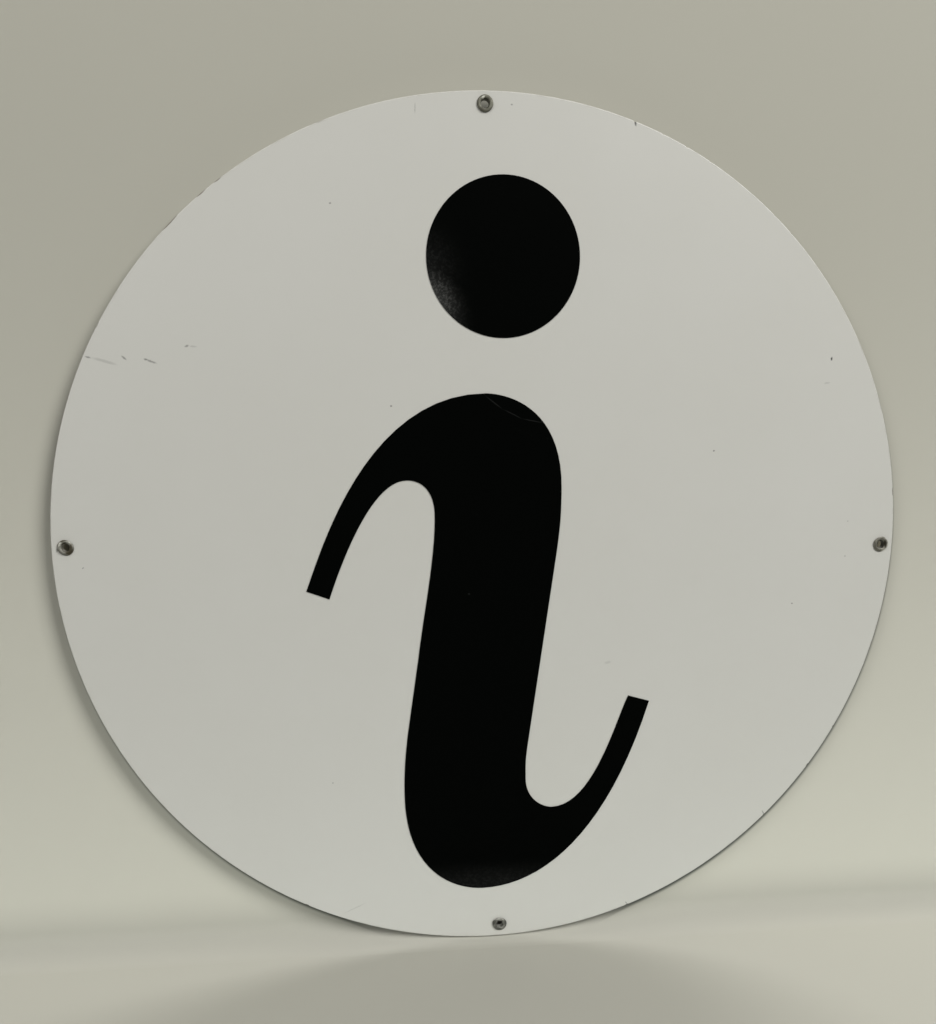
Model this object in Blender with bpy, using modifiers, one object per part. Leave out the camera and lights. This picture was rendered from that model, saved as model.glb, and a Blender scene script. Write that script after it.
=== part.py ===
"""Round information sign: a painted metal disc, a black cut-film figure and four eyelets.

The disc stands upright in the XZ plane, and its front faces -Y. The origin is behind the
disc's centre, on the plane that the backs of the eyelets bear on. Depths are measured from
that plane towards the front. All sizes are metres, and angles are degrees.
"""

import math

import bpy

# Panel: a painted sheet-metal disc with a rounded rim
PANEL_DIAMETER = 0.450
PANEL_THICKNESS = 0.0020
RIM_RADIUS = 0.0004
PANEL_SIDES = 160
RIM_SEGMENTS = 3

# Figure: a round dot over a slanted stem, cut from black film
FILM_THICKNESS = 0.0002
FILM_CLEARANCE = 0.0001
DOT_DIAMETER = 0.078
DOT_CENTRE = (0.008, 0.148)
DOT_SIDES = 96
STEM_CENTRE = (0.0, 0.0)
STEM_CURVE_STEPS = 20

# Stem outline, clockwise from the outer corner of the upper tail.
# Each row is an anchor: X, Z, heading, pull before it, pull after it.
# A pull is the length of the curve handle on that side, and 0 leaves it straight.
STEM_OUTLINE = (
    (-0.0970, -0.0200, 68.0, 0.0, 0.0225),
    (-0.0015, 0.0815, 0.0, 0.0620, 0.0085),
    (0.0390, 0.0320, -90.0, 0.0450, 0.0150),
    (0.0365, -0.0035, -97.5, 0.0150, 0.0),
    (0.0215, -0.1100, -97.5, 0.0, 0.0100),
    (0.0205, -0.1290, -90.0, 0.0080, 0.0135),
    (0.0355, -0.1470, 0.0, 0.0045, 0.0240),
    (0.0780, -0.0830, 64.5, 0.0150, 0.0),
    (0.0900, -0.0865, -106.0, 0.0, 0.0810),
    (-0.0040, -0.1945, 180.0, 0.0345, 0.0180),
    (-0.0475, -0.1365, 90.0, 0.0450, 0.0110),
    (-0.0450, -0.1010, 82.5, 0.0160, 0.0),
    (-0.0385, -0.0585, 82.5, 0.0, 0.0250),
    (-0.0285, 0.0190, 90.0, 0.0225, 0.0115),
    (-0.0430, 0.0375, 180.0, 0.0090, 0.0160),
    (-0.0850, -0.0245, -109.5, 0.0310, 0.0),
)

# Fixings: an eyelet through the panel near the rim, set over a washer behind.
# Each fixing has its angle, and how far its centre lies in from the rim.
FIXINGS = {
    "top": (90.3, 0.0059),
    "right": (-0.3, 0.0069),
    "bottom": (-88.5, 0.0073),
    "left": (178.5, 0.0074),
}
EYELET_BORE = 0.0042
EYELET_WALL = 0.0003
EYELET_HEAD_DIAMETER = 0.0080
EYELET_HEAD_HEIGHT = 0.0008
EYELET_BEND = 0.0003
EYELET_LAND = 0.0005
EYELET_LIP_BEND = 0.0001
EYELET_STEPS = 30
HEAD_ARC_STEPS = 6
BEND_ARC_STEPS = 3
WASHER_DIAMETER = 0.0086
WASHER_THICKNESS = 0.0005
WASHER_CHAMFER = 0.0001
SEAT_CLEARANCE = 0.0003
HOLE_CLEARANCE = 0.0003

# Radii and diameters that follow from the sizes above
PANEL_RADIUS = PANEL_DIAMETER / 2
BORE_RADIUS = EYELET_BORE / 2
BARREL_RADIUS = BORE_RADIUS + EYELET_WALL
HOLE_DIAMETER = 2 * (BARREL_RADIUS + HOLE_CLEARANCE)

# Depths of the stack, from the plane that the eyelets bear on
LIP_DEPTH = EYELET_WALL + EYELET_LIP_BEND
WASHER_BACK = LIP_DEPTH + SEAT_CLEARANCE
WASHER_FRONT = WASHER_BACK + WASHER_THICKNESS
PANEL_BACK = WASHER_FRONT + SEAT_CLEARANCE
PANEL_MIDDLE = PANEL_BACK + PANEL_THICKNESS / 2
PANEL_FRONT = PANEL_BACK + PANEL_THICKNESS
FILM_MIDDLE = PANEL_FRONT + FILM_CLEARANCE + FILM_THICKNESS / 2
HEAD_SEAT = PANEL_FRONT + SEAT_CLEARANCE

# Local +Z of a flat or turned piece points out of the sign's front
FACE_FRONT = (math.radians(90), 0.0, 0.0)


def clear_scene():
    """Remove whatever the scene starts with."""
    for item in list(bpy.data.objects):
        bpy.data.objects.remove(item, do_unlink=True)


def new_collection(name):
    """Make a collection of that name in the scene."""
    collection = bpy.data.collections.new(name)
    bpy.context.scene.collection.children.link(collection)
    return collection


def new_material(name, colour, roughness, metallic):
    """Make a Principled material from its plain values."""
    material = bpy.data.materials.new(name)
    material.use_nodes = True
    shader = material.node_tree.nodes["Principled BSDF"]
    shader.inputs["Base Color"].default_value = (*colour, 1.0)
    shader.inputs["Roughness"].default_value = roughness
    shader.inputs["Metallic"].default_value = metallic
    material.diffuse_color = (*colour, 1.0)
    return material


def move_to(item, collection):
    """Keep an object in that collection only."""
    for owner in list(item.users_collection):
        owner.objects.unlink(item)
    collection.objects.link(item)


def add_disc(name, collection, diameter, depth, centre, sides):
    """Add a cylinder primitive whose axis runs from front to back."""
    bpy.ops.mesh.primitive_cylinder_add(
        vertices=sides, radius=diameter / 2, depth=depth, location=centre, rotation=FACE_FRONT)
    disc = bpy.context.object
    disc.name = name
    disc.data.name = name
    move_to(disc, collection)
    return disc


def shade_round(item, sharp_angle=30):
    """Shade a round piece smooth and keep its corners crisp."""
    item.data.shade_smooth()
    item.data.set_sharp_from_angle(angle=math.radians(sharp_angle))


def fixing_place(angle, inset):
    """Centre of a fixing, as X and Z on the panel."""
    reach = PANEL_RADIUS - inset
    turn = math.radians(angle)
    return reach * math.cos(turn), reach * math.sin(turn)


def make_panel(collection, cutters, material):
    """The sheet-metal disc: rounded rim first, then one hole for each eyelet."""
    middle = (0.0, -PANEL_MIDDLE, 0.0)
    panel = add_disc("panel", collection, PANEL_DIAMETER, PANEL_THICKNESS, middle, PANEL_SIDES)
    rim = panel.modifiers.new("rounded_rim", "BEVEL")
    rim.width = min(RIM_RADIUS, 0.45 * PANEL_THICKNESS)
    rim.segments = RIM_SEGMENTS
    rim.limit_method = "ANGLE"
    for name, (angle, inset) in FIXINGS.items():
        x, z = fixing_place(angle, inset)
        cutter = add_disc(
            "hole_" + name, cutters, HOLE_DIAMETER, 3 * PANEL_THICKNESS, (x, middle[1], z), EYELET_STEPS)
        cutter.hide_render = True
        cutter.display_type = "WIRE"
        hole = panel.modifiers.new(cutter.name, "BOOLEAN")
        hole.operation = "DIFFERENCE"
        hole.solver = "EXACT"
        hole.object = cutter
    shade_round(panel)
    panel.data.materials.append(material)
    return panel


def make_dot(collection, material):
    """The round dot of the figure, a disc of film."""
    centre = (DOT_CENTRE[0], -FILM_MIDDLE, DOT_CENTRE[1])
    dot = add_disc("figure_dot", collection, DOT_DIAMETER, FILM_THICKNESS, centre, DOT_SIDES)
    shade_round(dot)
    dot.data.materials.append(material)
    return dot


def make_stem(collection, material):
    """The slanted stem with its two hooked tails, a filled outline of film."""
    outline = bpy.data.curves.new("figure_stem", "CURVE")
    outline.dimensions = "2D"
    outline.fill_mode = "BOTH"
    outline.extrude = FILM_THICKNESS / 2
    outline.resolution_u = STEM_CURVE_STEPS
    spline = outline.splines.new("BEZIER")
    spline.bezier_points.add(len(STEM_OUTLINE) - 1)
    spline.use_cyclic_u = True
    for point, (x, y, heading, before, after) in zip(spline.bezier_points, STEM_OUTLINE):
        along = (math.cos(math.radians(heading)), math.sin(math.radians(heading)))
        point.handle_left_type = "FREE"
        point.handle_right_type = "FREE"
        point.co = (x, y, 0.0)
        point.handle_left = (x - before * along[0], y - before * along[1], 0.0)
        point.handle_right = (x + after * along[0], y + after * along[1], 0.0)
    stem = bpy.data.objects.new("figure_stem", outline)
    stem.location = (STEM_CENTRE[0], -FILM_MIDDLE, STEM_CENTRE[1])
    stem.rotation_euler = FACE_FRONT
    collection.objects.link(stem)
    outline.materials.append(material)
    return stem


def arc(centre_radius, depth, reach, rise, start, end, steps):
    """Points of an oval arc in a turned profile, as radius and depth."""
    points = []
    for step in range(steps + 1):
        turn = math.radians(start + (end - start) * step / steps)
        points.append((centre_radius + reach * math.cos(turn), depth + rise * math.sin(turn)))
    return points


def eyelet_profile():
    """Wall of an eyelet: a rolled head in front, a barrel, and a flare pressed flat behind.

    The flare has a flat land at depth 0 and a lip that turns back towards the washer.
    """
    head_edge = EYELET_HEAD_DIAMETER / 2
    head_middle = (BORE_RADIUS + head_edge) / 2
    head_reach = (head_edge - BORE_RADIUS) / 2
    inner_reach = head_reach - EYELET_WALL
    inner_rise = EYELET_HEAD_HEIGHT - EYELET_WALL
    land_start = BARREL_RADIUS + EYELET_BEND
    land_end = land_start + EYELET_LAND
    bend_depth = EYELET_BEND + EYELET_WALL
    head_front = arc(head_middle, HEAD_SEAT, head_reach, EYELET_HEAD_HEIGHT, 180, 0, HEAD_ARC_STEPS)
    head_inside = arc(head_middle, HEAD_SEAT, inner_reach, inner_rise, 0, 180, HEAD_ARC_STEPS)
    bend_inside = arc(land_start, bend_depth, EYELET_BEND, EYELET_BEND, 180, 270, BEND_ARC_STEPS)
    lip_inside = arc(land_end, LIP_DEPTH, EYELET_LIP_BEND, EYELET_LIP_BEND, 270, 360, BEND_ARC_STEPS)
    lip_outside = arc(land_end, LIP_DEPTH, LIP_DEPTH, LIP_DEPTH, 360, 270, BEND_ARC_STEPS)
    bend_outside = arc(land_start, bend_depth, bend_depth, bend_depth, 270, 180, BEND_ARC_STEPS)
    return head_front + head_inside + bend_inside + lip_inside + lip_outside + bend_outside


def washer_profile():
    """Section of a flat washer behind the panel."""
    inner = HOLE_DIAMETER / 2
    outer = WASHER_DIAMETER / 2
    return [
        (inner, WASHER_FRONT), (outer, WASHER_FRONT),
        (outer, WASHER_BACK), (inner, WASHER_BACK)]


def make_turned(name, collection, profile, place, material):
    """Turn a closed profile about the fixing's own axis."""
    mesh = bpy.data.meshes.new(name)
    edges = [(index, (index + 1) % len(profile)) for index in range(len(profile))]
    mesh.from_pydata([(radius, 0.0, depth) for radius, depth in profile], edges, [])
    ring = bpy.data.objects.new(name, mesh)
    ring.location = (place[0], 0.0, place[1])
    ring.rotation_euler = FACE_FRONT
    collection.objects.link(ring)
    turn = ring.modifiers.new("turn", "SCREW")
    turn.steps = EYELET_STEPS
    turn.render_steps = EYELET_STEPS
    turn.use_smooth_shade = True
    turn.use_merge_vertices = False
    turn.merge_threshold = 0.00001
    mesh.materials.append(material)
    return ring


def make_fixings(collection, eyelet_material, washer_material):
    """An eyelet and its washer at each fixing."""
    for name, (angle, inset) in FIXINGS.items():
        place = fixing_place(angle, inset)
        make_turned("eyelet_" + name, collection, eyelet_profile(), place, eyelet_material)
        washer = make_turned("washer_" + name, collection, washer_profile(), place, washer_material)
        edge = washer.modifiers.new("edge", "BEVEL")
        edge.width = WASHER_CHAMFER
        edge.segments = 1
        edge.limit_method = "ANGLE"


def main():
    clear_scene()
    sign = new_collection("information_sign")
    cutters = new_collection("cutters")
    white_paint = new_material("white_paint", (0.78, 0.78, 0.76), 0.30, 0.0)
    black_film = new_material("black_film", (0.010, 0.010, 0.011), 0.28, 0.0)
    plated_steel = new_material("plated_steel", (0.50, 0.49, 0.46), 0.35, 1.0)
    dull_steel = new_material("dull_steel", (0.42, 0.41, 0.39), 0.50, 1.0)
    make_panel(sign, cutters, white_paint)
    make_dot(sign, black_film)
    make_stem(sign, black_film)
    make_fixings(sign, plated_steel, dull_steel)


main()
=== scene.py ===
"""Looks of the round information sign: sheet, film figure, eyelets, washers, stage and light.

Lengths are metres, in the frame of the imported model: the front faces -Y and up is +Z.
"""

import math

import bmesh
import bpy
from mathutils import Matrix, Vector


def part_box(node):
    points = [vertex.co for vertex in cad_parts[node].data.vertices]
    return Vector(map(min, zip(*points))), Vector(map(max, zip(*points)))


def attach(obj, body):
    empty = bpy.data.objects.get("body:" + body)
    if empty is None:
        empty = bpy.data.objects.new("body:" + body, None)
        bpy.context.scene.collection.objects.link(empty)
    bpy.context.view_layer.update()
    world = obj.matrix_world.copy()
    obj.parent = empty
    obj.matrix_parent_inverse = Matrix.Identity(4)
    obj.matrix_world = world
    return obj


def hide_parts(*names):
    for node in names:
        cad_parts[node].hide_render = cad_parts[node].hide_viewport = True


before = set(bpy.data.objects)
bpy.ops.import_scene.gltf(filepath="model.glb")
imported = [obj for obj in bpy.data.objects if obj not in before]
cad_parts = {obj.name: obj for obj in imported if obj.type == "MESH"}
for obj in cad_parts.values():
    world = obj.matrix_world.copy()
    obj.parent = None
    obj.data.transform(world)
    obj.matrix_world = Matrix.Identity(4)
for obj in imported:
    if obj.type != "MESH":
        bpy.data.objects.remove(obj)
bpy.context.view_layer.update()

MM = 0.001

# Sheet: a plain cut edge with a small round, nicked here and there
RIM_ROUND = 0.4 * MM
RIM_ROUND_STEPS = 5
RIM_SIDES = 360
HOLE_RADIUS = 2.7 * MM
HOLE_SIDES = 48

# Nicks in the rim: angle in degrees, depth and half width in millimetres
RIM_NICKS = (
    (70.9, 0.55, 0.75), (66.9, 0.28, 0.90), (63.4, 0.30, 0.90), (59.8, 0.26, 1.00),
    (48.8, 0.20, 1.20), (45.6, 0.25, 1.00), (7.4, 0.30, 0.90), (-28.0, 0.25, 0.80),
    (-34.7, 0.30, 0.90), (-44.5, 0.22, 1.10), (-68.9, 0.30, 0.90), (-117.4, 0.28, 0.90),
)
# Corners on each half of a nick, and the radius that turns its half width into degrees
NICK_STEPS = 5
NICK_RADIUS = 0.225

# Eyelet and washer, in the sizes of the solids that they replace
BORE_RADIUS = 2.1 * MM
EYELET_WALL = 0.3 * MM
HEAD_RADIUS = 4.0 * MM
HEAD_HEIGHT = 0.8 * MM
FLARE_BEND = 0.3 * MM
FLARE_LAND = 0.5 * MM
FLARE_LIP = 0.1 * MM
SEAT_GAP = 0.3 * MM
RING_SIDES = 72
WASHER_RADIUS = 4.3 * MM
WASHER_EDGE = 0.1 * MM

# An eyelet's warp starts at this depth and is whole after this rise, both in millimetres
HEAD_START = 3.8
HEAD_RISE = 0.4

# Camera, from the photograph's perspective
CAMERA_PLACE = (-0.06163, -0.52622, 0.07133)
CAMERA_TURN = (78.043, 0.419, -5.584)
CAMERA_LENS = 34.93
CAMERA_SENSOR = 36.0
CAMERA_SHIFT = 0.1094
CAMERA_NEAR = 0.01

# Stage: a floor that runs up into a wall close behind the sign
FLOOR_HEIGHT = -0.2285
WALL_DEPTH = 5.0 * MM
COVE_RADIUS = 16.0 * MM
COVE_STEPS = 12
STAGE_REACH = 1.0
FLOOR_TONE = (0.395, 0.387, 0.335)
FLOOR_BOUNCE = (0.700, 0.750, 0.730)
# Wall tones low and high: painted light, the wall lighter low and darker high
STAGE_LOW = (0.540, 0.528, 0.450)
STAGE_HIGH = (0.415, 0.404, 0.340)

# Distances over which the stage fades into the background: from the sign's centre, and in front
FLOOR_FADE = (0.55, 0.95)
WALL_FADE = (0.45, 0.75)
FRONT_FADE = (0.12, 0.32)

# Painted shade on the part of the wall that the sign covers, seen through the eyelets' bores,
# and a painted contact shadow just past the rim: their tones, the distances from the sign's centre
# over which the inner tone turns into the tone of the contact shadow, and the off-centre circle
# past which the contact shadow ends
PAINTED_SHADE_TONE = (0.170, 0.155, 0.110)
PAINTED_SHADE_TONE_TOP = (0.230, 0.225, 0.190)
PAINTED_CONTACT_SHADOW_TONE = (0.120, 0.125, 0.108)
CONTACT_SHADOW_CENTRE = (1.4 * MM, WALL_DEPTH, -3.0 * MM)
CONTACT_SHADOW_RADIUS = 0.2282
CONTACT_SHADOW_EDGE = 1.2 * MM
CONTACT_SHADOW_START = (0.2225, 0.2245)
MIRROR_REACH = 0.235

# Heights over which the wall's tones change: the painted shade behind the sign, the wall's painted
# light, the cove's blend into the floor, and the foot where the painted contact shadow gives way
PAINTED_SHADE_GRADE = (0.05, 0.18)
WALL_GRADE = (-0.20, 0.22)
COVE_GRADE = (FLOOR_HEIGHT, -0.190)
FOOT_GRADE = (-0.2250, -0.2110)

# Lamps: azimuth and elevation in degrees, distance and size in metres, power in watts
LAMPS = {
    "key_lamp": (42.0, 36.0, 2.6, 1.3, 63.5),
    "fill_lamp": (-38.0, 30.0, 2.5, 1.7, 26.0),
    "back_lamp": (150.0, 40.0, 2.2, 1.4, 30.0),
}
BACKGROUND = (0.392, 0.381, 0.319)
EVEN_LIGHT = 0.03


def link_object(name, data):
    """A new object in the scene."""
    item = bpy.data.objects.new(name, data)
    bpy.context.scene.collection.objects.link(item)
    return item


def new_mesh_object(name, bm):
    """Turn a bmesh into an object of the scene."""
    bmesh.ops.recalc_face_normals(bm, faces=bm.faces)
    mesh = bpy.data.meshes.new(name)
    bm.to_mesh(mesh)
    bm.free()
    return link_object(name, mesh)


def add_piece(item, slot, *nodes):
    """A piece that rides on the sign and stands for CAD nodes."""
    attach(item, "root")
    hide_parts(*nodes)


# Shader helpers


def new_material(name):
    """A node material with its node tree and Principled shader."""
    material = bpy.data.materials.new(name)
    material.use_nodes = True
    return material, material.node_tree, material.node_tree.nodes["Principled BSDF"]


def add_node(tree, kind, **settings):
    """A shader node with its settings."""
    made = tree.nodes.new(kind)
    for key, value in settings.items():
        setattr(made, key, value)
    return made


def feed(tree, socket, value):
    """Give a socket a link or a constant."""
    if isinstance(value, bpy.types.NodeSocket):
        tree.links.new(value, socket)
    else:
        socket.default_value = value


def calc(tree, operation, first, second=0.0):
    """A Math node's result."""
    made = add_node(tree, "ShaderNodeMath", operation=operation)
    feed(tree, made.inputs[0], first)
    feed(tree, made.inputs[1], second)
    return made.outputs[0]


def vector_calc(tree, operation, first, second=None):
    """A Vector Math node with its inputs."""
    made = add_node(tree, "ShaderNodeVectorMath", operation=operation)
    feed(tree, made.inputs[0], first)
    if second is not None:
        feed(tree, made.inputs[1], second)
    return made


def ramp(tree, value, low, high, start=0.0, end=1.0):
    """A value eased from start to end while it runs from low to high."""
    made = add_node(tree, "ShaderNodeMapRange", interpolation_type="SMOOTHSTEP")
    feed(tree, made.inputs["Value"], value)
    made.inputs["From Min"].default_value = low
    made.inputs["From Max"].default_value = high
    made.inputs["To Min"].default_value = start
    made.inputs["To Max"].default_value = end
    return made.outputs["Result"]


def colour_of(value):
    """A socket as it is, or a colour with its alpha."""
    return value if isinstance(value, bpy.types.NodeSocket) else (*value, 1.0)


def mix_colour(tree, amount, first, second):
    """Blend of two colours."""
    made = add_node(tree, "ShaderNodeMix", data_type="RGBA")
    feed(tree, made.inputs[0], amount)
    feed(tree, made.inputs[6], colour_of(first))
    feed(tree, made.inputs[7], colour_of(second))
    return made.outputs[2]


def place_of(tree):
    """Place on the object, in metres."""
    return add_node(tree, "ShaderNodeTexCoord").outputs["Object"]


def axis_reach(tree, coords, x, z):
    """Distance from an axis that goes through the sign at X and Z, in metres."""
    centred = vector_calc(tree, "SUBTRACT", coords, (x, 0.0, z))
    flat = vector_calc(tree, "MULTIPLY", centred.outputs[0], (1.0, 0.0, 1.0))
    return vector_calc(tree, "LENGTH", flat.outputs[0]).outputs["Value"]


def noise_node(tree, coords, size, detail, roughness):
    """Noise whose lumps are about that size in metres."""
    made = add_node(tree, "ShaderNodeTexNoise")
    feed(tree, made.inputs["Vector"], coords)
    made.inputs["Scale"].default_value = 1.0 / size
    made.inputs["Detail"].default_value = detail
    made.inputs["Roughness"].default_value = roughness
    return made


def noise_of(tree, coords, size, detail=2.0, roughness=0.5):
    """Value of such a noise, about 0.5 on average."""
    return noise_node(tree, coords, size, detail, roughness).outputs["Fac"]


def shaken(tree, coords, size, amount):
    """Coordinates moved about by a noise, for ragged outlines."""
    noise = noise_node(tree, coords, size, 3.0, 0.6)
    centred = vector_calc(tree, "SUBTRACT", noise.outputs["Color"], (0.5, 0.5, 0.5))
    scaled = vector_calc(tree, "SCALE", centred.outputs[0])
    scaled.inputs["Scale"].default_value = amount
    return vector_calc(tree, "ADD", coords, scaled.outputs[0]).outputs[0]


def stroke(tree, coords, core, x, z, angle, half_length, half_width, strength):
    """Mask of one oval mark on the face, whole up to its core. Sizes are in millimetres."""
    local = add_node(tree, "ShaderNodeMapping", vector_type="TEXTURE")
    feed(tree, local.inputs["Vector"], coords)
    local.inputs["Location"].default_value = (x * MM, 0.0, z * MM)
    local.inputs["Rotation"].default_value = (0.0, -math.radians(angle), 0.0)
    local.inputs["Scale"].default_value = (half_length * MM, 1.0, half_width * MM)
    reach = vector_calc(tree, "LENGTH", local.outputs[0]).outputs["Value"]
    return ramp(tree, reach, core, 1.0, strength, 0.0)


def strokes(tree, coords, marks, core=0.35):
    """Mask of several marks, the strongest at each place."""
    whole = None
    for mark in marks:
        single = stroke(tree, coords, core, *mark)
        whole = single if whole is None else calc(tree, "MAXIMUM", whole, single)
    return whole


def bumped(tree, shader, height):
    """Feed a height in millimetres into the shader's normal."""
    made = add_node(tree, "ShaderNodeBump")
    made.inputs["Strength"].default_value = 1.0
    made.inputs["Distance"].default_value = 1.0 * MM
    feed(tree, made.inputs["Height"], height)
    tree.links.new(made.outputs["Normal"], shader.inputs["Normal"])


# Gloss white paint

PAINT_TONES = ((0.530, 0.521, 0.470), (0.552, 0.545, 0.500))
PAINT_FLECK = (0.470, 0.455, 0.400)
PAINT_ROUGHNESS = 0.29
RIM_GRIME = (0.250, 0.235, 0.195)
FIXING_GRIME = (0.230, 0.205, 0.160)
SCUFF_TONE = (0.035, 0.034, 0.030)

# Marks on the face: x, z, angle, half length, half width, strength, in millimetres and degrees
FACE_MARKS = (
    (-198.8, 99.9, -20.0, 1.9, 0.6, 0.55), (-191.0, 98.0, -16.0, 8.0, 1.0, 0.22),
    (-181.5, 99.6, -42.0, 2.0, 0.7, 0.55), (-168.4, 97.8, -20.0, 3.6, 0.7, 0.52),
    (-171.0, 98.8, -10.0, 1.4, 0.6, 0.60), (-150.8, 105.2, 15.0, 1.5, 0.7, 0.50),
    (-147.5, 105.0, -4.0, 2.4, 0.6, 0.22), (73.9, 211.6, -75.0, 1.9, 0.70, 0.85),
    (183.2, 98.4, 75.0, 1.3, 0.75, 0.98), (121.2, 51.0, 20.0, 0.7, 0.6, 0.75),
    (-77.7, 172.7, 0.0, 0.7, 0.6, 0.55), (-50.2, 75.4, 30.0, 0.8, 0.6, 0.65),
    (-210.0, -4.9, 60.0, 0.7, 0.5, 0.55), (169.6, -33.2, 0.0, 0.7, 0.6, 0.60),
    (-86.8, -127.4, 0.0, 0.6, 0.5, 0.45), (198.5, -7.3, 0.0, 0.6, 0.6, 0.45),
    (198.7, 12.1, 0.0, 0.6, 0.5, 0.40), (12.0, 218.8, 0.0, 0.7, 0.6, 0.50),
    (66.1, -63.7, 10.0, 2.6, 1.1, 0.16), (181.6, 85.9, 5.0, 2.2, 0.7, 0.20),
    (-35.3, 216.4, 88.0, 3.2, 0.4, 0.30), (-77.0, -203.0, 24.0, 9.0, 0.45, 0.16),
    (-221.8, 4.9, 66.0, 2.2, 0.9, 0.50), (-216.6, 7.2, -5.0, 2.0, 0.8, 0.40),
    (159.9, -156.4, -60.0, 1.9, 0.45, 0.50), (80.2, -208.8, -55.0, 1.3, 0.5, 0.55),
)

# Chips along the rim, where the metal shows dark, with the weak marks from 62 to 19 degrees drawing
# a thin dark line along the rim: angle in degrees, half length in millimetres and strength.
# All have the same half width in millimetres, core and distance past the rim.
RIM_CHIPS = (
    (133.6, 6.5, 0.95), (128.3, 3.4, 0.95), (125.7, 2.6, 0.80), (149.2, 2.0, 0.40),
    (111.2, 2.6, 0.35), (62.0, 2.5, 0.25), (48.8, 4.0, 0.20), (33.0, 6.0, 0.18),
    (28.0, 6.0, 0.22), (19.3, 6.0, 0.18), (7.1, 2.8, 0.85), (-28.0, 0.9, 0.60),
    (-34.8, 1.4, 0.95), (-69.0, 1.4, 0.85), (-117.5, 1.8, 0.90),
)
CHIP_TONE = (0.110, 0.090, 0.065)
CHIP_HALF_WIDTH = 0.6
CHIP_CORE = 0.75
CHIP_PAST_RIM = 0.05 * MM


def grimy_paint(tree, coords, cloudy, reach, fixings, radius):
    """Colour of the paint: faint mottling, and grime at the rim and round the eyelets."""
    fine = noise_of(tree, coords, 0.006, 4.0, 0.6)
    tone = mix_colour(tree, cloudy, *PAINT_TONES)
    tone = mix_colour(tree, ramp(tree, fine, 0.50, 0.85, 0.0, 0.06), tone, PAINT_FLECK)
    rim = ramp(tree, reach, radius - 1.2 * MM, radius, 0.0, 0.25)
    rim = calc(tree, "MULTIPLY", rim, ramp(tree, fine, 0.45, 0.65))
    tone = mix_colour(tree, rim, tone, RIM_GRIME)
    rings = [(x / MM, z / MM, 0.0, 7.5, 7.5, 0.15) for x, z in fixings]
    grime = calc(tree, "MULTIPLY", strokes(tree, coords, rings), fine)
    return mix_colour(tree, grime, tone, FIXING_GRIME)


def chipped_rim(tree, coords, radius):
    """Mask of the chips, which run along the rim."""
    edge = (radius + CHIP_PAST_RIM) / MM
    marks = []
    for angle, half_length, strength in RIM_CHIPS:
        x = edge * math.cos(math.radians(angle))
        z = edge * math.sin(math.radians(angle))
        marks.append((x, z, angle + 90.0, half_length, CHIP_HALF_WIDTH, strength))
    return strokes(tree, shaken(tree, coords, 1.5 * MM, 0.4 * MM), marks, CHIP_CORE)


def white_paint(fixings, radius):
    """Gloss white paint with grime, chips, scuffs and specks, a little uneven under its gloss."""
    material, tree, shader = new_material("white_gloss_paint")
    coords = place_of(tree)
    cloudy = noise_of(tree, coords, 0.110, 3.0)
    reach = axis_reach(tree, coords, 0.0, 0.0)
    marks = strokes(tree, shaken(tree, coords, 1.2 * MM, 0.9 * MM), FACE_MARKS)
    tone = grimy_paint(tree, coords, cloudy, reach, fixings, radius)
    tone = mix_colour(tree, chipped_rim(tree, coords, radius), tone, CHIP_TONE)
    tone = mix_colour(tree, marks, tone, SCUFF_TONE)
    tree.links.new(tone, shader.inputs["Base Color"])
    dull = calc(tree, "ADD", calc(tree, "MULTIPLY", cloudy, 0.06), PAINT_ROUGHNESS)
    dull = calc(tree, "ADD", dull, ramp(tree, reach, radius - 0.6 * MM, radius, 0.0, 0.35))
    dull = calc(tree, "ADD", dull, calc(tree, "MULTIPLY", marks, 0.4))
    tree.links.new(dull, shader.inputs["Roughness"])
    wave = calc(tree, "MULTIPLY", noise_of(tree, coords, 0.045, 1.0), 0.16)
    peel = calc(tree, "MULTIPLY", noise_of(tree, coords, 0.0016), 0.006)
    height = calc(tree, "ADD", wave, peel)
    bumped(tree, shader, calc(tree, "SUBTRACT", height, calc(tree, "MULTIPLY", marks, 0.03)))
    return material


# Grey coat of the back

BACK_TONES = ((0.400, 0.400, 0.390), (0.450, 0.450, 0.440))
BACK_RUBBED = (0.540, 0.540, 0.530)


def grey_primer():
    """Dull light grey coat of the back, with handling marks."""
    material, tree, shader = new_material("grey_back_coat")
    coords = place_of(tree)
    cloudy = noise_of(tree, coords, 0.060, 4.0, 0.6)
    tone = mix_colour(tree, ramp(tree, cloudy, 0.35, 0.65), *BACK_TONES)
    long_way = add_node(tree, "ShaderNodeMapping")
    feed(tree, long_way.inputs["Vector"], coords)
    long_way.inputs["Rotation"].default_value = (0.0, 0.5, 0.0)
    long_way.inputs["Scale"].default_value = (1.0, 1.0, 45.0)
    drag = noise_of(tree, long_way.outputs[0], 0.060, 5.0, 0.7)
    tone = mix_colour(tree, ramp(tree, drag, 0.62, 0.72, 0.0, 0.45), tone, BACK_RUBBED)
    tree.links.new(tone, shader.inputs["Base Color"])
    tree.links.new(ramp(tree, cloudy, 0.30, 0.70, 0.42, 0.55), shader.inputs["Roughness"])
    bumped(tree, shader, calc(tree, "MULTIPLY", noise_of(tree, coords, 0.0012), 0.010))
    return material


# Black film

FILM_TONE = (0.0007, 0.0010, 0.0008)
# Pale tone of the film's painted highlight and painted reflection
FILM_SHEEN_TONE = (0.30, 0.30, 0.28)
FILM_SCRATCH = (0.40, 0.40, 0.38)
FILM_ROUGHNESS = 0.29
FILM_SPECULAR = 0.02

# Scratches on the film, listed as the marks on the face are
FILM_MARKS = (
    (3.0, 76.8, -38.0, 7.0, 0.35, 0.50), (13.0, 70.8, -26.0, 7.0, 0.35, 0.45),
    (23.5, 67.4, -11.0, 7.0, 0.35, 0.45), (-10.7, -23.4, 0.0, 0.7, 0.6, 0.55),
)

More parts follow.
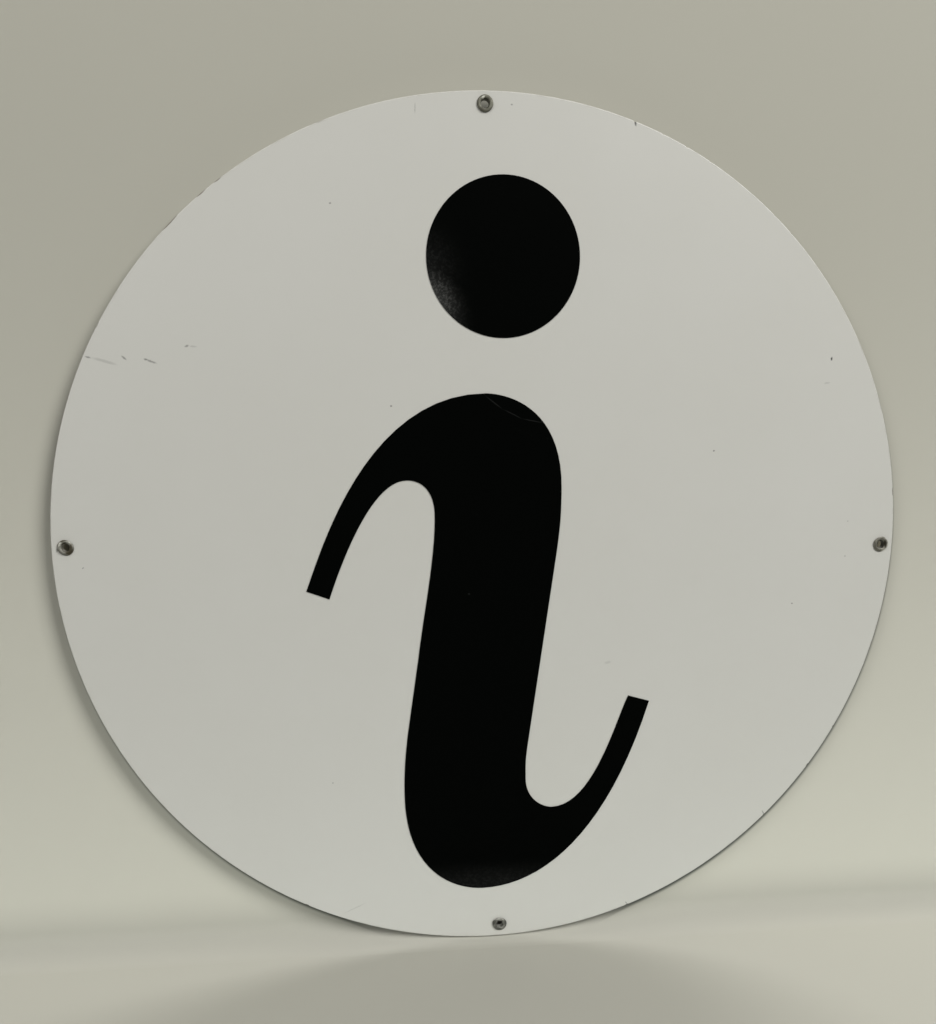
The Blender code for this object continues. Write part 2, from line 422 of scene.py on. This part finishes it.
# Painted sheen, listed in the same way: a painted reflection along the stem's foot, and a painted
# highlight in from the dot's edge, where its strength is raised to a power so that it fades slowly
PAINTED_FOOT_REFLECTION = ((-2.0, -201.0, 0.0, 110.0, 25.0, 0.15),)
PAINTED_DOT_HIGHLIGHT = ((-25.8, 128.5, -60.0, 43.0, 23.0, 1.05), (-30.6, 142.6, -82.0, 45.0, 37.0, 0.69))
PAINTED_DOT_HIGHLIGHT_POWER = 4.0


def painted_film_sheen(tree, coords, grain):
    """Mask of the film's painted highlight and painted reflection, which sits on the grain."""
    dot_highlight = calc(tree, "POWER", strokes(tree, coords, PAINTED_DOT_HIGHLIGHT, 0.0), PAINTED_DOT_HIGHLIGHT_POWER)
    film_sheen = calc(tree, "MAXIMUM", strokes(tree, coords, PAINTED_FOOT_REFLECTION), dot_highlight)
    return calc(tree, "MULTIPLY", film_sheen, ramp(tree, grain, 0.44, 0.66, 0.30, 1.0))


def black_film():
    """Satin black film: a light pebble, a painted highlight at the dot's edge, a painted reflection along
    the stem's foot, and a few fine scratches.
    """
    material, tree, shader = new_material("satin_black_film")
    coords = place_of(tree)
    cloudy = noise_of(tree, coords, 0.050, 3.0)
    grain = noise_of(tree, coords, 0.0011, 3.0, 0.7)
    # painted highlight and painted reflection on the film
    painted_sheen = calc(tree, "MULTIPLY", painted_film_sheen(tree, coords, grain), 0.22)
    marks = strokes(tree, shaken(tree, coords, 3.0 * MM, 0.5 * MM), FILM_MARKS)
    tone = mix_colour(tree, painted_sheen, FILM_TONE, FILM_SHEEN_TONE)
    tone = mix_colour(tree, calc(tree, "MULTIPLY", marks, 0.05), tone, FILM_SCRATCH)
    tree.links.new(tone, shader.inputs["Base Color"])
    dull = calc(tree, "ADD", calc(tree, "MULTIPLY", cloudy, 0.06), FILM_ROUGHNESS)
    tree.links.new(dull, shader.inputs["Roughness"])
    shader.inputs["Specular IOR Level"].default_value = FILM_SPECULAR
    wave = calc(tree, "MULTIPLY", noise_of(tree, coords, 0.030, 1.0), 0.10)
    bumped(tree, shader, calc(tree, "ADD", wave, calc(tree, "MULTIPLY", grain, 0.006)))
    return material


# Metal of the eyelets and washers

EYELET_SPECULAR = 0.15
WASHER_METALLIC = 0.9
WASHER_TONE = (0.42, 0.41, 0.39)
WASHER_SPOTS = (0.16, 0.13, 0.10)


def moved_marks(marks, place):
    """Marks that are listed from an eyelet's centre, at its place on the sign."""
    x, z = place[0] / MM, place[1] / MM
    return [(x + mark[0], z + mark[1], *mark[2:]) for mark in marks]


def plated_metal(name, place, look):
    """Metal of one eyelet: plating gone grey, with stains, painted shade and painted highlights of its
    own.
    """
    material, tree, shader = new_material(name)
    coords = place_of(tree)
    patchy = noise_of(tree, coords, 0.0022, 4.0, 0.65)
    fine = noise_of(tree, coords, 0.0005, 3.0, 0.6)
    ragged = shaken(tree, coords, 0.9 * MM, 0.7 * MM)
    # dark marks: stains, with painted shade among them
    dark = strokes(tree, ragged, moved_marks(look["stain_and_shade_marks"], place))
    # pale marks: painted highlights
    pale = strokes(tree, ragged, moved_marks(look["painted_highlights"], place))
    reach = axis_reach(tree, coords, *place)
    # painted shade down the bore
    painted_bore_shade = ramp(tree, reach, BORE_RADIUS, BORE_RADIUS + 0.25 * MM, look["bore"], 0.0)
    stain_and_shade = calc(tree, "MAXIMUM", painted_bore_shade, dark)
    stain_and_shade = calc(tree, "MAXIMUM", stain_and_shade, ramp(tree, patchy, 0.55, 0.85, 0.0, 0.6))
    # painted highlights in their own pale tone
    tone = mix_colour(tree, pale, look["metal"], look["highlight_tone"])
    tree.links.new(mix_colour(tree, stain_and_shade, tone, look["dark"]), shader.inputs["Base Color"])
    dull = calc(tree, "SUBTRACT", 0.52, calc(tree, "MULTIPLY", pale, 0.14))
    tree.links.new(dull, shader.inputs["Roughness"])
    bare = calc(tree, "SUBTRACT", 0.7, calc(tree, "MULTIPLY", stain_and_shade, 0.5))
    tree.links.new(bare, shader.inputs["Metallic"])
    shader.inputs["Specular IOR Level"].default_value = EYELET_SPECULAR
    patches = calc(tree, "MULTIPLY", patchy, 0.08)
    bumped(tree, shader, calc(tree, "ADD", patches, calc(tree, "MULTIPLY", fine, 0.012)))
    return material


def washer_metal():
    """Dull plated washer with dark spots."""
    material, tree, shader = new_material("dull_washer_steel")
    patchy = noise_of(tree, place_of(tree), 0.0018, 4.0, 0.7)
    tone = mix_colour(tree, ramp(tree, patchy, 0.56, 0.70), WASHER_TONE, WASHER_SPOTS)
    tree.links.new(tone, shader.inputs["Base Color"])
    tree.links.new(ramp(tree, patchy, 0.40, 0.70, 0.42, 0.62), shader.inputs["Roughness"])
    shader.inputs["Metallic"].default_value = WASHER_METALLIC
    bumped(tree, shader, calc(tree, "MULTIPLY", patchy, 0.03))
    return material


# Sheet


def fixing_places():
    """Centre of each eyelet, read from the solids, as X and Z."""
    places = {}
    for name in ("top", "right", "bottom", "left"):
        low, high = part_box("eyelet_" + name)
        places[name] = ((low[0] + high[0]) / 2, (low[2] + high[2]) / 2)
    return places


def rim_angles():
    """Angles of the rim's corners, closer together at the nicks."""
    angles = {round(360.0 * step / RIM_SIDES, 4) for step in range(RIM_SIDES)}
    for centre, _, half_width in RIM_NICKS:
        spread = math.degrees(half_width * MM / NICK_RADIUS)
        for step in range(-NICK_STEPS - 1, NICK_STEPS + 2):
            angles.add(round((centre + spread * step / NICK_STEPS) % 360.0, 4))
    return sorted(angles)


def rim_reach(angle, radius):
    """Radius of the sheet at that angle, less the nick there."""
    for centre, depth, half_width in RIM_NICKS:
        away = abs((angle - centre + 180.0) % 360.0 - 180.0)
        along = math.radians(away) * radius / (half_width * MM)
        if along < 1.0:
            radius -= depth * MM * (0.5 + 0.5 * math.cos(math.pi * along))
    return radius


def rim_section(front, back):
    """Round of the sheet's edge from front to back: inset from the radius, and y."""
    points = []
    for step in range(RIM_ROUND_STEPS + 1):
        turn = math.radians(90.0 * step / RIM_ROUND_STEPS)
        points.append((RIM_ROUND * (1 - math.sin(turn)), front + RIM_ROUND * (1 - math.cos(turn))))
    return points + [(inset, front + back - y) for inset, y in reversed(points)]


def add_loop(bm, points):
    """A closed loop of points: its vertices and its edges."""
    verts = [bm.verts.new(point) for point in points]
    edges = [bm.edges.new((verts[i - 1], verts[i])) for i in range(len(verts))]
    return verts, edges


def bridge(bm, first, second):
    """Smooth quads between two loops of the same length."""
    for i in range(len(first)):
        face = bm.faces.new((first[i - 1], first[i], second[i], second[i - 1]))
        face.smooth = True


def add_rim(bm, front, back, radius):
    """The sheet's rounded and nicked edge. Gives its front edges and its back edges."""
    angles = [math.radians(angle) for angle in rim_angles()]
    reaches = [rim_reach(math.degrees(angle), radius) for angle in angles]
    rows = []
    for inset, y in rim_section(front, back):
        rows.append(add_loop(bm, [
            ((reach - inset) * math.cos(angle), y, (reach - inset) * math.sin(angle))
            for angle, reach in zip(angles, reaches)]))
    for first, second in zip(rows, rows[1:]):
        bridge(bm, first[0], second[0])
    return rows[0][1], rows[-1][1]


def add_hole(bm, x, z, front, back):
    """The wall of a round hole. Gives its front edges and its back edges."""
    turns = [2 * math.pi * step / HOLE_SIDES for step in range(HOLE_SIDES)]
    rows = []
    for y in (front, back):
        rows.append(add_loop(bm, [
            (x + HOLE_RADIUS * math.cos(turn), y, z + HOLE_RADIUS * math.sin(turn))
            for turn in turns]))
    bridge(bm, rows[0][0], rows[1][0])
    return rows[0][1], rows[1][1]


def make_sheet(paint, back_coat, places):
    """The sheet-metal disc, its edge rounded and nicked, with a hole for each eyelet."""
    low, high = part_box("panel")
    front, back, radius = low[1], high[1], (high[0] - low[0]) / 2
    bm = bmesh.new()
    front_edges, back_edges = add_rim(bm, front, back, radius)
    for x, z in places.values():
        hole_front, hole_back = add_hole(bm, x, z, front, back)
        front_edges += hole_front
        back_edges += hole_back
    bmesh.ops.triangle_fill(bm, use_beauty=True, edges=front_edges)
    filled = bmesh.ops.triangle_fill(bm, use_beauty=True, edges=back_edges)
    for face in filled["geom"]:
        if isinstance(face, bmesh.types.BMFace):
            face.material_index = 1
    for edge in front_edges + back_edges:
        edge.smooth = False
    sheet = new_mesh_object("sheet_disc", bm)
    sheet.data.materials.append(paint)
    sheet.data.materials.append(back_coat)
    add_piece(sheet, "white_paint", "panel")


# Eyelets and washers


def arc(centre_radius, depth, reach, rise, start, end, steps):
    """Points of an oval arc in a turned profile, as radius and depth."""
    points = []
    for step in range(steps + 1):
        turn = math.radians(start + (end - start) * step / steps)
        points.append((centre_radius + reach * math.cos(turn), depth + rise * math.sin(turn)))
    return points


def eyelet_profile(panel_front):
    """Wall of a set eyelet, as radius and depth towards the front."""
    barrel = BORE_RADIUS + EYELET_WALL
    middle = (BORE_RADIUS + HEAD_RADIUS) / 2
    reach = (HEAD_RADIUS - BORE_RADIUS) / 2
    seat = panel_front + SEAT_GAP
    land_start = barrel + FLARE_BEND
    land_end = land_start + FLARE_LAND
    bend = FLARE_BEND + EYELET_WALL
    lip = FLARE_LIP + EYELET_WALL
    return (
        arc(middle, seat, reach, HEAD_HEIGHT, 180, 0, 18)
        + arc(middle, seat, reach - EYELET_WALL, HEAD_HEIGHT - EYELET_WALL, 0, 180, 12)
        + arc(land_start, bend, FLARE_BEND, FLARE_BEND, 180, 270, 5)
        + arc(land_end, lip, FLARE_LIP, FLARE_LIP, 270, 360, 4)
        + arc(land_end, lip, lip, lip, 360, 270, 6)
        + arc(land_start, bend, bend, bend, 270, 180, 7))


def washer_profile(front, back):
    """Section of a washer with chamfered corners, as radius and depth towards the front."""
    edge = WASHER_EDGE
    return [
        (HOLE_RADIUS, front - edge), (HOLE_RADIUS + edge, front), (WASHER_RADIUS - edge, front),
        (WASHER_RADIUS, front - edge), (WASHER_RADIUS, back + edge), (WASHER_RADIUS - edge, back),
        (HOLE_RADIUS + edge, back), (HOLE_RADIUS, back + edge)]


def turned_ring(profile, turn, place, warp):
    """The profile's points at one turn about its place, moved by its warp."""
    ring = []
    for radius, depth in profile:
        radius, depth, aside, above = warp(turn, radius, depth)
        x = place[0] + aside + radius * math.cos(turn)
        ring.append((x, -depth, place[1] + above + radius * math.sin(turn)))
    return ring


def make_turned(name, profile, place, warp, material, slot, node):
    """A turned ring whose profile is closed."""
    bm = bmesh.new()
    rings = []
    for step in range(RING_SIDES):
        points = turned_ring(profile, 2 * math.pi * step / RING_SIDES, place, warp)
        rings.append([bm.verts.new(point) for point in points])
    for i in range(len(rings)):
        bridge(bm, rings[i - 1], rings[i])
    ring = new_mesh_object(name, bm)
    ring.data.set_sharp_from_angle(angle=math.radians(40))
    ring.data.materials.append(material)
    add_piece(ring, slot, node)


def hand_set(shift, lean, lean_angle, dents):
    """Warp of a head that was rolled by hand: off its bore's centre, uneven in height and dented.

    Angles are degrees and the other values are millimetres. A dent is its angle, how far it is
    pressed down, how far its outer edge moves out and its inner edge in, and its half width in
    degrees.
    """
    def warp(turn, radius, depth):
        head = min(1.0, max(0.0, (depth / MM - HEAD_START) / HEAD_RISE))
        out = min(1.0, max(0.0, (radius - BORE_RADIUS) / (HEAD_RADIUS - BORE_RADIUS)))
        depth += head * lean * MM * (math.cos(turn - math.radians(lean_angle)) - 1.0)
        for angle, press, outward, inward, half_width in dents:
            away = abs((math.degrees(turn) - angle + 180.0) % 360.0 - 180.0) / half_width
            if away < 1.0:
                share = head * (0.5 + 0.5 * math.cos(math.pi * away)) * MM
                depth -= share * press
                radius += share * (out * outward - (1.0 - out) * inward)
        reach = head * MM
        return radius, depth, reach * shift[0], reach * shift[1]
    return warp


def true_form(turn, radius, depth):
    """No warp."""
    return radius, depth, 0.0, 0.0


# Each eyelet: its warp, its colours, how far painted shade darkens its bore, its stains and painted
# shade as dark marks, and its painted highlights as pale marks
EYELETS = {
    "top": {
        "warp": hand_set((0.1, 0.0), 0.03, 120.0, [(215.0, 0.10, 0.1, 0.0, 35.0)]),
        "metal": (0.150, 0.147, 0.120), "highlight_tone": (0.640, 0.640, 0.580), "dark": (0.060, 0.055, 0.040),
        "bore": 0.85,
        "stain_and_shade_marks": [(-1.6, -2.4, -40.0, 1.8, 1.2, 0.7), (0.6, -2.6, 10.0, 2.6, 0.8, 0.5),
                   (2.2, 2.4, -45.0, 2.0, 0.9, 0.45), (-3.3, 0.4, 90.0, 2.0, 0.8, 0.4)],
        "painted_highlights": [(-0.9, 2.6, 28.0, 1.2, 0.7, 1.0)]},
    "right": {
        "warp": hand_set((0.35, 0.25), 0.08, 0.0, [
            (75.0, 0.05, 0.5, 0.3, 22.0), (160.0, 0.12, -0.3, 0.5, 45.0), (250.0, 0.10, 0.0, 1.0, 24.0)]),
        "metal": (0.165, 0.160, 0.135), "highlight_tone": (0.450, 0.440, 0.390), "dark": (0.030, 0.027, 0.018),
        "bore": 0.9,
        # the first mark is painted shade over the right side of the bore
        "stain_and_shade_marks": [(2.6, 0.5, 95.0, 2.9, 1.1, 1.0), (-0.6, 1.9, 20.0, 1.8, 1.0, 0.8),
                   (-3.0, 0.4, 100.0, 2.4, 0.7, 0.5), (0.4, 3.5, 10.0, 2.0, 0.6, 0.5)],
        "painted_highlights": [(4.2, -1.0, 80.0, 3.6, 1.1, 1.0), (2.4, -3.1, 30.0, 2.6, 1.4, 0.9),
                 (-0.4, -1.9, 0.0, 1.1, 1.0, 1.0)]},
    "bottom": {
        "warp": hand_set((-0.15, 0.1), 0.08, 90.0, [
            (90.0, 0.10, -0.4, 0.5, 32.0), (150.0, 0.05, 0.5, 0.9, 35.0), (215.0, 0.12, 0.0, 0.6, 30.0),
            (270.0, 0.20, -0.4, 0.5, 35.0), (20.0, 0.0, 0.4, 0.6, 30.0)]),
        "metal": (0.230, 0.230, 0.206), "highlight_tone": (0.420, 0.420, 0.380), "dark": (0.070, 0.070, 0.058),
        "bore": 0.35,
        "stain_and_shade_marks": [(-3.5, 1.2, 55.0, 2.8, 1.5, 0.95), (3.4, 0.9, 105.0, 3.0, 1.3, 0.9),
                   (3.7, -1.2, 75.0, 1.8, 0.9, 0.8), (-0.9, -2.5, -20.0, 3.0, 1.0, 0.95),
                   (-1.9, -0.5, 80.0, 2.4, 1.3, 0.85), (0.3, -3.8, 0.0, 3.2, 0.7, 0.75)],
        "painted_highlights": [(0.2, -3.2, 0.0, 2.0, 0.6, 0.5)]},
    "left": {
        "warp": hand_set((-0.35, 0.25), 0.08, 135.0, [
            (300.0, 0.20, -0.3, 0.0, 50.0), (30.0, 0.12, -0.2, 0.0, 30.0)]),
        "metal": (0.240, 0.236, 0.210), "highlight_tone": (0.640, 0.640, 0.590), "dark": (0.060, 0.052, 0.034),
        "bore": 0.8,
        "stain_and_shade_marks": [(-4.1, 2.0, 62.0, 3.2, 1.1, 1.0), (-1.6, 3.9, 10.0, 3.6, 1.1, 1.0),
                   (1.7, -2.1, 45.0, 3.6, 3.0, 1.0), (2.6, 0.3, 90.0, 2.6, 1.3, 1.0),
                   # the last mark is painted shade that dims the ring's lit lower-left slope
                   (-0.9, 2.1, 30.0, 2.4, 1.0, 0.9), (-2.2, -2.2, -45.0, 3.2, 1.6, 0.40)],
        "painted_highlights": [(-2.6, 1.9, 45.0, 1.8, 1.0, 1.0)]},
}


def make_fixings(places):
    """The eyelets, each set a little differently, and their washers."""
    eyelet_wall = eyelet_profile(-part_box("panel")[0][1])
    washer_steel = washer_metal()
    for name, look in EYELETS.items():
        place = places[name]
        metal = plated_metal("eyelet_metal_" + name, place, look)
        make_turned("eyelet_ring_" + name, eyelet_wall, place, look["warp"], metal,
                    "plated_steel", "eyelet_" + name)
        low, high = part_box("washer_" + name)
        make_turned("washer_ring_" + name, washer_profile(-low[1], -high[1]), place, true_form,
                    washer_steel, "dull_steel", "washer_" + name)


def dress_film():
    """The film keeps its solids and takes the finished material."""
    film = black_film()
    for name in ("figure_dot", "figure_stem"):
        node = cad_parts[name]
        node.data.materials.clear()
        node.data.materials.append(film)


# Stage


def stage_height(tree):
    """Height on the stage, in metres."""
    split = add_node(tree, "ShaderNodeSeparateXYZ")
    feed(tree, split.inputs[0], place_of(tree))
    return split.outputs["Z"]


def stage_reach(tree, centre):
    """Distance on the stage from a point, in metres."""
    return vector_calc(tree, "DISTANCE", place_of(tree), centre).outputs["Value"]


def stage_shown(tree, fade):
    """How much of the stage shows: it fades round the sign's centre and in front of it."""
    round_sign = ramp(tree, stage_reach(tree, (0.0, 0.0, 0.0)), *fade, 1.0, 0.0)
    split = add_node(tree, "ShaderNodeSeparateXYZ")
    feed(tree, split.inputs[0], place_of(tree))
    start, end = FRONT_FADE
    return calc(tree, "MULTIPLY", round_sign, ramp(tree, split.outputs["Y"], -end, -start))


def stage_material(name):
    """A material without a shader, and its node tree."""
    material = bpy.data.materials.new(name)
    material.use_nodes = True
    tree = material.node_tree
    tree.nodes.remove(tree.nodes["Principled BSDF"])
    return material, tree


def matte_stage(tree, shown, tone):
    """Matte surface in that tone, clear where it isn't shown."""
    matte = add_node(tree, "ShaderNodeBsdfDiffuse")
    tree.links.new(tone, matte.inputs["Color"])
    clear = add_node(tree, "ShaderNodeBsdfTransparent")
    mixed = add_node(tree, "ShaderNodeMixShader")
    tree.links.new(shown, mixed.inputs[0])
    tree.links.new(clear.outputs[0], mixed.inputs[1])
    tree.links.new(matte.outputs[0], mixed.inputs[2])
    tree.links.new(mixed.outputs[0], tree.nodes["Material Output"].inputs["Surface"])


def floor_material():
    """Stage surface that throws a little more light back at the sign than the camera sees."""
    material, tree = stage_material("stage_floor")
    light_path = add_node(tree, "ShaderNodeLightPath")
    tone = mix_colour(tree, light_path.outputs["Is Diffuse Ray"], FLOOR_TONE, FLOOR_BOUNCE)
    matte_stage(tree, stage_shown(tree, FLOOR_FADE), tone)
    return material


def wall_seen(tree):
    """The wall is met from the front only, by the camera's rays, bounced rays, and mirrored rays
    that are clear of the sign."""
    light_path = add_node(tree, "ShaderNodeLightPath")
    facing = add_node(tree, "ShaderNodeNewGeometry")
    front = calc(tree, "SUBTRACT", 1.0, facing.outputs["Backfacing"])
    bounced = calc(tree, "GREATER_THAN", light_path.outputs["Diffuse Depth"], 0.5)
    clear_of_sign = calc(tree, "GREATER_THAN", stage_reach(tree, (0.0, 0.0, 0.0)), MIRROR_REACH)
    mirrored = calc(tree, "MULTIPLY", light_path.outputs["Is Glossy Ray"], clear_of_sign)
    seen = calc(tree, "MAXIMUM", light_path.outputs["Is Camera Ray"], bounced)
    return calc(tree, "MULTIPLY", calc(tree, "MAXIMUM", seen, mirrored), front)


def wall_tone(tree):
    """Tone of the wall, graded upwards with painted light, with painted shade where the sign covers it
    and a painted contact shadow just past the rim.
    """
    height = stage_height(tree)
    # painted light: the wall lighter low and darker high
    graded = mix_colour(tree, ramp(tree, height, *WALL_GRADE), STAGE_LOW, STAGE_HIGH)
    graded = mix_colour(tree, ramp(tree, height, *COVE_GRADE), FLOOR_TONE, graded)
    # painted shade behind the sign, lighter at the top
    painted_shade = mix_colour(tree, ramp(tree, height, *PAINTED_SHADE_GRADE), PAINTED_SHADE_TONE, PAINTED_SHADE_TONE_TOP)
    near_edge = ramp(tree, stage_reach(tree, (0.0, 0.0, 0.0)), *CONTACT_SHADOW_START)
    # painted contact shadow just past the rim, which ends past an off-centre circle and near the floor
    painted_shadows = mix_colour(tree, near_edge, painted_shade, PAINTED_CONTACT_SHADOW_TONE)
    reach = stage_reach(tree, CONTACT_SHADOW_CENTRE)
    open_part = ramp(tree, reach, CONTACT_SHADOW_RADIUS - CONTACT_SHADOW_EDGE, CONTACT_SHADOW_RADIUS + CONTACT_SHADOW_EDGE)
    foot = ramp(tree, height, *FOOT_GRADE, 1.0, 0.0)
    return mix_colour(tree, calc(tree, "MAXIMUM", open_part, foot), painted_shadows, graded)


def wall_material():
    """Stage surface behind the sign."""
    material, tree = stage_material("stage_wall")
    shown = calc(tree, "MULTIPLY", stage_shown(tree, WALL_FADE), wall_seen(tree))
    matte_stage(tree, shown, wall_tone(tree))
    return material


def stage_row(y, z):
    """Left and right corners of the stage at that depth and height."""
    return [(-STAGE_REACH, y, z), (STAGE_REACH, y, z)]


def add_stage(name, rows, material):
    """A stage surface between rows of corners."""
    corners = [corner for row in rows for corner in row]
    quads = [(2 * i, 2 * i + 1, 2 * i + 3, 2 * i + 2) for i in range(len(rows) - 1)]
    mesh = bpy.data.meshes.new(name)
    mesh.from_pydata(corners, [], quads)
    mesh.shade_smooth()
    mesh.materials.append(material)
    link_object(name, mesh)


def make_stage():
    """A pale floor under the sign, which runs up into a pale wall close behind it."""
    floor_rows = [stage_row(-STAGE_REACH, FLOOR_HEIGHT), stage_row(STAGE_REACH, FLOOR_HEIGHT)]
    add_stage("floor", floor_rows, floor_material())
    wall_rows = []
    for step in range(COVE_STEPS + 1):
        turn = math.radians(90.0 * step / COVE_STEPS)
        y = WALL_DEPTH - COVE_RADIUS * (1.0 - math.sin(turn))
        z = FLOOR_HEIGHT + COVE_RADIUS * (1.0 - math.cos(turn))
        wall_rows.append(stage_row(y, z))
    wall_rows.append(stage_row(WALL_DEPTH, STAGE_REACH))
    add_stage("wall", wall_rows, wall_material())


# Light and camera


def add_lamp(name, azimuth, elevation, distance, size, power):
    """A soft round lamp that faces the sign. Azimuth 0 is in front, 90 at its right."""
    lamp = bpy.data.lights.new(name, "AREA")
    lamp.shape = "DISK"
    lamp.size = size
    lamp.energy = power
    a, e = math.radians(azimuth), math.radians(elevation)
    way = Vector((math.sin(a) * math.cos(e), -math.cos(a) * math.cos(e), math.sin(e)))
    item = link_object(name, lamp)
    item.location = way * distance
    item.rotation_mode = "QUATERNION"
    item.rotation_quaternion = (-way).to_track_quat("-Z", "Y")


def make_lights():
    """A soft key from the upper right, a weak fill from the left and one for the back."""
    for name, values in LAMPS.items():
        add_lamp(name, *values)


def make_world():
    """Dim even light, with a pale background for what looks straight at it."""
    world = bpy.data.worlds.new("studio")
    world.use_nodes = True
    bpy.context.scene.world = world
    tree = world.node_tree
    dim = tree.nodes["Background"]
    dim.inputs["Color"].default_value = (1.0, 1.0, 1.0, 1.0)
    dim.inputs["Strength"].default_value = EVEN_LIGHT
    pale = add_node(tree, "ShaderNodeBackground")
    pale.inputs["Color"].default_value = (*BACKGROUND, 1.0)
    pale.inputs["Strength"].default_value = 1.0
    rays = add_node(tree, "ShaderNodeLightPath").outputs
    shown = calc(tree, "MAXIMUM", rays["Is Camera Ray"], rays["Is Glossy Ray"])
    shown = calc(tree, "MAXIMUM", shown, rays["Is Transmission Ray"])
    mixed = add_node(tree, "ShaderNodeMixShader")
    tree.links.new(shown, mixed.inputs[0])
    tree.links.new(dim.outputs[0], mixed.inputs[1])
    tree.links.new(pale.outputs[0], mixed.inputs[2])
    tree.links.new(mixed.outputs[0], tree.nodes["World Output"].inputs["Surface"])


def make_camera():
    """The photograph's viewpoint."""
    data = bpy.data.cameras.new("camera")
    data.lens = CAMERA_LENS
    data.sensor_width = CAMERA_SENSOR
    data.shift_y = CAMERA_SHIFT
    data.clip_start = CAMERA_NEAR
    camera = link_object("camera", data)
    camera.location = CAMERA_PLACE
    camera.rotation_euler = [math.radians(turn) for turn in CAMERA_TURN]
    bpy.context.scene.camera = camera


def main():
    """Dress the sign, and build its stage, light and camera."""
    places = fixing_places()
    low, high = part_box("panel")
    paint = white_paint(places.values(), (high[0] - low[0]) / 2)
    make_sheet(paint, grey_primer(), places)
    make_fixings(places)
    dress_film()
    make_stage()
    make_world()
    make_lights()
    make_camera()
    bpy.context.scene.view_settings.view_transform = "Standard"


main()
